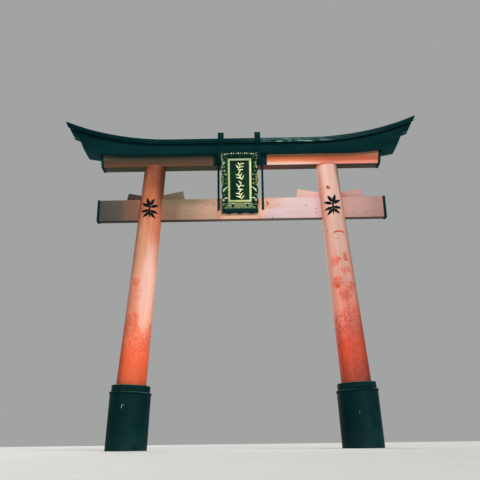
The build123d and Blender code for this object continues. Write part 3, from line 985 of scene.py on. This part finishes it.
def carved_border(first):
    """One splayed border with a wavy outer edge, scrolls and a rolled rim."""
    second = (first + 1) % 4
    length = (outer_corners[second] - outer_corners[first]).length
    side = (outer_corners[second] - outer_corners[first]).normalized()
    outwards = Vector((side.y, -side.x))
    bm = bmesh.new()
    lift_layer = bm.verts.layers.float.new("lift")
    bmesh.ops.create_grid(bm, x_segments=int(length / 0.006), y_segments=24, size=0.5)
    for vert in bm.verts:
        a, out = vert.co.x + 0.5, vert.co.y + 0.5
        inner = inner_corners[first].lerp(inner_corners[second], a)
        flat = inner.lerp(outer_corners[first].lerp(outer_corners[second], a), out)
        swing = cos(2 * pi * (flat.dot(side) - 0.8 * abs(side.y)) / edge_pitch)
        flat += outwards * edge_wave * (swing - 0.4) * out**2 * min(1, 12 * a, 12 * (1 - a))
        carved = scroll_lift(*flat)
        rim = ridge(out, 0.93, 0.05)
        mitre = ridge(min(a, 1 - a) * length, 0, 0.009)
        level = border_root + (border_splay - border_root) * out + carving_depth * (carved - 0.4)
        vert[lift_layer] = max(carved, rim_gilding[first] * rim, 0.8 * mitre)
        vert.co = (*flat, level + 0.005 * rim)
    bmesh.ops.recalc_face_normals(bm, faces=bm.faces)
    if bm.faces[0].normal.z < 0:
        bmesh.ops.reverse_faces(bm, faces=bm.faces)
    bmesh.ops.solidify(bm, geom=bm.faces[:], thickness=border_thickness)
    return bm


def add_comma(bm, place, heading, length, width, bend):
    """A carved curl: a round head whose tail bends away; heading and bend in degrees."""
    verts = bmesh.ops.create_uvsphere(bm, u_segments=10, v_segments=8, radius=1)["verts"]
    reach = length / radians(bend)
    for vert in verts:
        along = (vert.co.z + 1) / 2
        thick = width * (1 - 0.72 * along)
        turn = radians(bend) * along
        inner = reach - vert.co.x * thick
        vert.co = (inner * sin(turn), reach - inner * cos(turn), vert.co.y * thick * 0.8)
    lay(bm, verts, place, heading)


def make_curls(gold):
    """The gilded curls that stand out of the borders."""
    bm = bmesh.new()
    for side in labels:
        for u, v, w, heading, length, width, bend in curls:
            turned = heading if side > 0 else 180 - heading
            add_comma(bm, (side * u, v, w), turned, length, width, side * bend)
    plaque_piece("border_curls", bm, gold)


def make_beads(pale):
    """A wavy row of small beads along the upper rim, and a few down the sides."""
    bm = bmesh.new()
    places = []
    for step in range(16):
        u = -0.289 + step * 0.0385
        droop = 0.012 * sin(pi * min(1, (0.31 - abs(u)) / 0.16)) ** 2
        places.append((u, 1.056 - droop, 0.007 + 0.004 * (step * 5 % 3)))
    for side in labels:
        places += [(side * 0.3, 1.01, 0.01), (side * 0.292, 0.96, 0.008), (side * 0.284, 0.905, 0.009)]
    for u, v, radius in places:
        add_ball(bm, Matrix.Translation((u, v, 0.082)), (radius, radius, radius), 8, 6)
    plaque_piece("border_beads", bm, pale)


def make_ribs(side, olive):
    """The ribbed fringe half way up a side border."""
    bm = bmesh.new()
    for step in range(6):
        heading = -22 if side > 0 else 202
        add_comma(bm, (side * 0.274, 0.69 - step * 0.036, 0.078), heading, 0.046, 0.01, side * -25)
    plaque_piece(f"{labels[side]}_ribs", bm, olive)


def make_valance(green):
    """The scalloped board along the lower edge, with two drops."""
    bm = bmesh.new()
    lift_layer = bm.verts.layers.float.new("lift")
    bmesh.ops.create_grid(bm, x_segments=120, y_segments=10, size=0.5)
    for vert in bm.verts:
        u, down = vert.co.x * 0.6, 0.5 - vert.co.y
        low = 0.022 - 0.01 * abs(sin(pi * u / 0.075))
        for drop in (-0.117, 0.13):
            low -= 0.016 * ridge(u, drop, 0.012)
        vert[lift_layer] = 0.62 * ridge(down, 0.1 + 0.07 * abs(sin(pi * u / 0.05)), 0.07)
        out = 0.084 + 0.01 * sin(pi * down) + 0.004 * ridge(down, 0.94, 0.06)
        vert.co = (u, 0.092 + (low - 0.092) * down, out)
    bmesh.ops.solidify(bm, geom=bm.faces[:], thickness=0.014)
    plaque_piece("border_valance", bm, green)


def make_knobs(black, olive):
    """Two dark knobs on the lower border, and a row of bosses along its foot."""
    bm = bmesh.new()
    for u, v in ((-0.119, 0.142), (0.13, 0.14)):
        add_ball(bm, Matrix.Translation((u, v, 0.052)), (0.02, 0.02, 0.02), 16, 10)
    plaque_piece("border_knobs", bm, black)
    bm = bmesh.new()
    for step in range(8):
        size = (0.036, 0.018 + 0.007 * (step % 2), 0.014)
        add_ball(bm, Matrix.Translation((-0.238 + step * 0.068, 0.098, 0.078)), size, 12, 8)
    plaque_piece("border_bosses", bm, olive)


# Leaf sprays: a brushed one on each pillar, and gilded sprigs on the plaque
ink_thickness = 0.001
ink_lift = 0.0015
gilt_thickness = 0.003
gilt_lift = 0.0025
leaf_ridge = 0.006
# Leaves of the brushed spray: across, up, heading in degrees, length and width
pillar_spray = [
    (-0.01, -0.19, 86, 0.3, 0.034), (0.01, 0.035, 68, 0.16, 0.06), (-0.004, 0.04, 116, 0.15, 0.058),
    (0.006, 0.01, 26, 0.168, 0.06), (-0.006, 0.005, 158, 0.165, 0.058), (0.0, -0.055, -6, 0.16, 0.058),
    (-0.008, -0.06, 188, 0.155, 0.056), (-0.004, -0.085, -40, 0.15, 0.056),
    (-0.01, -0.09, 222, 0.15, 0.056),
]
# Gilded sprigs: how far up the plaque, the lean of their stems, and the number and spread of their leaves
gold_sprigs = [(0.838, 68, 5, 60), (0.664, 114, 5, 52), (0.494, 62, 4, 64), (0.33, 106, 5, 58)]


def add_leaf(bm, across, up, heading, length, width, lift):
    """A flat, pointed leaf along a heading in degrees, its middle raised."""
    verts = bmesh.ops.create_grid(bm, x_segments=10, y_segments=4, size=1)["verts"]
    for vert in verts:
        along = (vert.co.x + 1) / 2
        half = width / 2 * sin(pi * along**0.75) ** 0.9
        height = lift * (1 - abs(vert.co.y)) * sin(pi * along)
        vert.co = (length * along, vert.co.y * half, height)
    lay(bm, verts, (across, up, 0), heading)


def leaf_spray(leaves, lift=0.0):
    """Leaves given as (across, up, heading, length, width)."""
    bm = bmesh.new()
    for leaf in leaves:
        add_leaf(bm, *leaf, lift)
    bmesh.ops.remove_doubles(bm, verts=bm.verts, dist=merge_distance)
    bmesh.ops.recalc_face_normals(bm, faces=bm.faces)
    return bm


def sprig_leaves(v, stem, count, spread):
    """A leaning stem with leaves to both sides by turns, longest near its foot."""
    middle = Vector((0.003, v))
    ahead = Vector((cos(radians(stem)), sin(radians(stem))))
    leaves = [(*(middle - 0.08 * ahead), stem, 0.164, 0.018)]
    for step in range(count):
        side = 1 if step % 2 else -1
        start = middle + (0.15 * step / count - 0.07) * ahead
        leaves.append((*start, stem + side * spread, 0.098 - 0.036 * step / count, 0.022))
    return leaves


def make_pillar_mark(side, ink, centre_along, centre_angle):
    """A brushed spray of leaves that follows the round of the pillar."""
    bm = leaf_spray(pillar_spray)
    for face in bm.faces:
        if face.normal.z < 0:
            face.normal_flip()
    bmesh.ops.solidify(bm, geom=bm.faces[:], thickness=ink_thickness)
    for vert in bm.verts:
        along = centre_along + vert.co.y
        radius = shaft_radius(along) + ink_lift + vert.co.z
        vert.co = round_axis(along, radians(centre_angle) + side * vert.co.x / radius, radius)
    bm.transform(on_axis(side))
    piece(f"{labels[side]}_leaf_mark", bm, ink)


def make_gold_sprays(gold):
    """The column of gilded sprigs on the panel."""
    bm = leaf_spray([leaf for sprig in gold_sprigs for leaf in sprig_leaves(*sprig)], leaf_ridge)
    bmesh.ops.solidify(bm, geom=bm.faces[:], thickness=gilt_thickness)
    bm.transform(Matrix.Translation((0, 0, panel_front + gilt_lift)))
    plaque_piece("gold_leaf_sprays", bm, gold)


def make_plaque(black):
    side_green = carved_green("side_green", (98, 128, 76), (184, 204, 166))
    # The top border's gilding is a darker copy, as painted shade under the lintel
    shaded_top_green = carved_green("shaded_top_green", (30, 66, 46), (70, 104, 72))
    finishes = {"bottom": olive_board(), "right": side_green, "top": shaded_top_green, "left": side_green}
    pale = gilt("pale_beads", (218, 230, 212), (156, 180, 160))
    for first, (place, finish) in enumerate(finishes.items()):
        plaque_piece(f"{place}_border_carving", carved_border(first), finish, f"plaque_{place}_border")
    dress("plaque_panel", "panel_board", 0.003, panel_lacquer())
    dress("plaque_moulding", "gilt_moulding", 0.009, moulding_gilt(), segments=3)
    make_curls(pale)
    make_beads(pale)
    # Lit and shaded copies of the ribs' gilding: painted shade on the left, painted light on the right
    make_ribs(-1, gilt("shaded_left_ribs", (170, 182, 122), (92, 112, 70)))
    make_ribs(1, gilt("lit_right_ribs", (214, 206, 116), (116, 124, 66)))
    make_valance(valance_teal())
    make_knobs(black, gilt("olive_bosses", (112, 132, 88), (60, 88, 56), "plaque_green"))
    make_gold_sprays(gilt("spray_gilt", (246, 248, 206), (206, 212, 132)))


# Floor, light and camera

def make_floor():
    bm = bmesh.new()
    bmesh.ops.create_grid(bm, x_segments=1, y_segments=1, size=60)
    floor = linked("floor", mesh_from("floor", bm))
    pale = Finish("pale_floor", roughness=0.85)
    pale.colour = pale.mix(pale.cloud((3, 3, 3), detail=6), (196, 196, 192), (212, 212, 208))
    floor.data.materials.append(pale.done().material)


def make_light(name, source, strength, softness, colour):
    """A far, soft light that comes from the direction of source."""
    data = bpy.data.lights.new(name, "SUN")
    data.energy = strength
    data.angle = radians(softness)
    data.color = colour
    light = linked(name, data)
    light.location = Vector(source)
    light.rotation_euler = Vector(source).to_track_quat("Z", "Y").to_euler()


def make_lights():
    bpy.context.scene.view_settings.view_transform = "Standard"
    world = bpy.data.worlds.new("studio")
    bpy.context.scene.world = world
    world.use_nodes = True
    background = world.node_tree.nodes["Background"].inputs
    background["Color"].default_value = (0.86, 0.88, 0.88, 1)
    background["Strength"].default_value = 0.42
    make_light("key", (4.7, -8.5, 6.3), 2.7, 22, (1, 0.97, 0.95))
    make_light("fill", (-3.2, -9.0, 2.2), 0.6, 40, (1, 1, 1))
    make_light("back", (-3.0, 8.0, 4.6), 1.3, 40, (1, 1, 1))


# The camera's fitted place and turns, low in front of the gate
camera_place = (0.0857, -9.6726, 0.0926)
camera_up = radians(18.7126)
camera_right = radians(-0.6727)
camera_roll = radians(0.7055)
focal_length = 45.0
sensor_width = 36.0


def make_camera():
    data = bpy.data.cameras.new("camera")
    data.lens = focal_length
    data.sensor_width = sensor_width
    data.clip_start = 0.05
    camera = linked("camera", data)
    turns = Matrix.Rotation(-camera_right, 4, "Z") @ Matrix.Rotation(pi / 2 + camera_up, 4, "X")
    camera.matrix_world = Matrix.Translation(camera_place) @ turns @ Matrix.Rotation(-camera_roll, 4, "Z")
    bpy.context.scene.camera = camera


strip_iron = iron_black()
for side in labels:
    make_pillar(side)
    make_wraps(side)
make_tie_beam()
make_lower_lintel()
make_nails(strip_iron)
make_roof(black_paint())
make_ironwork(strip_iron)
make_plaque(strip_iron)
brush_ink = brush_black()
make_pillar_mark(-1, brush_ink, 3.925, 4)
make_pillar_mark(1, brush_ink, 3.932, -4)
make_floor()
make_lights()
make_camera()
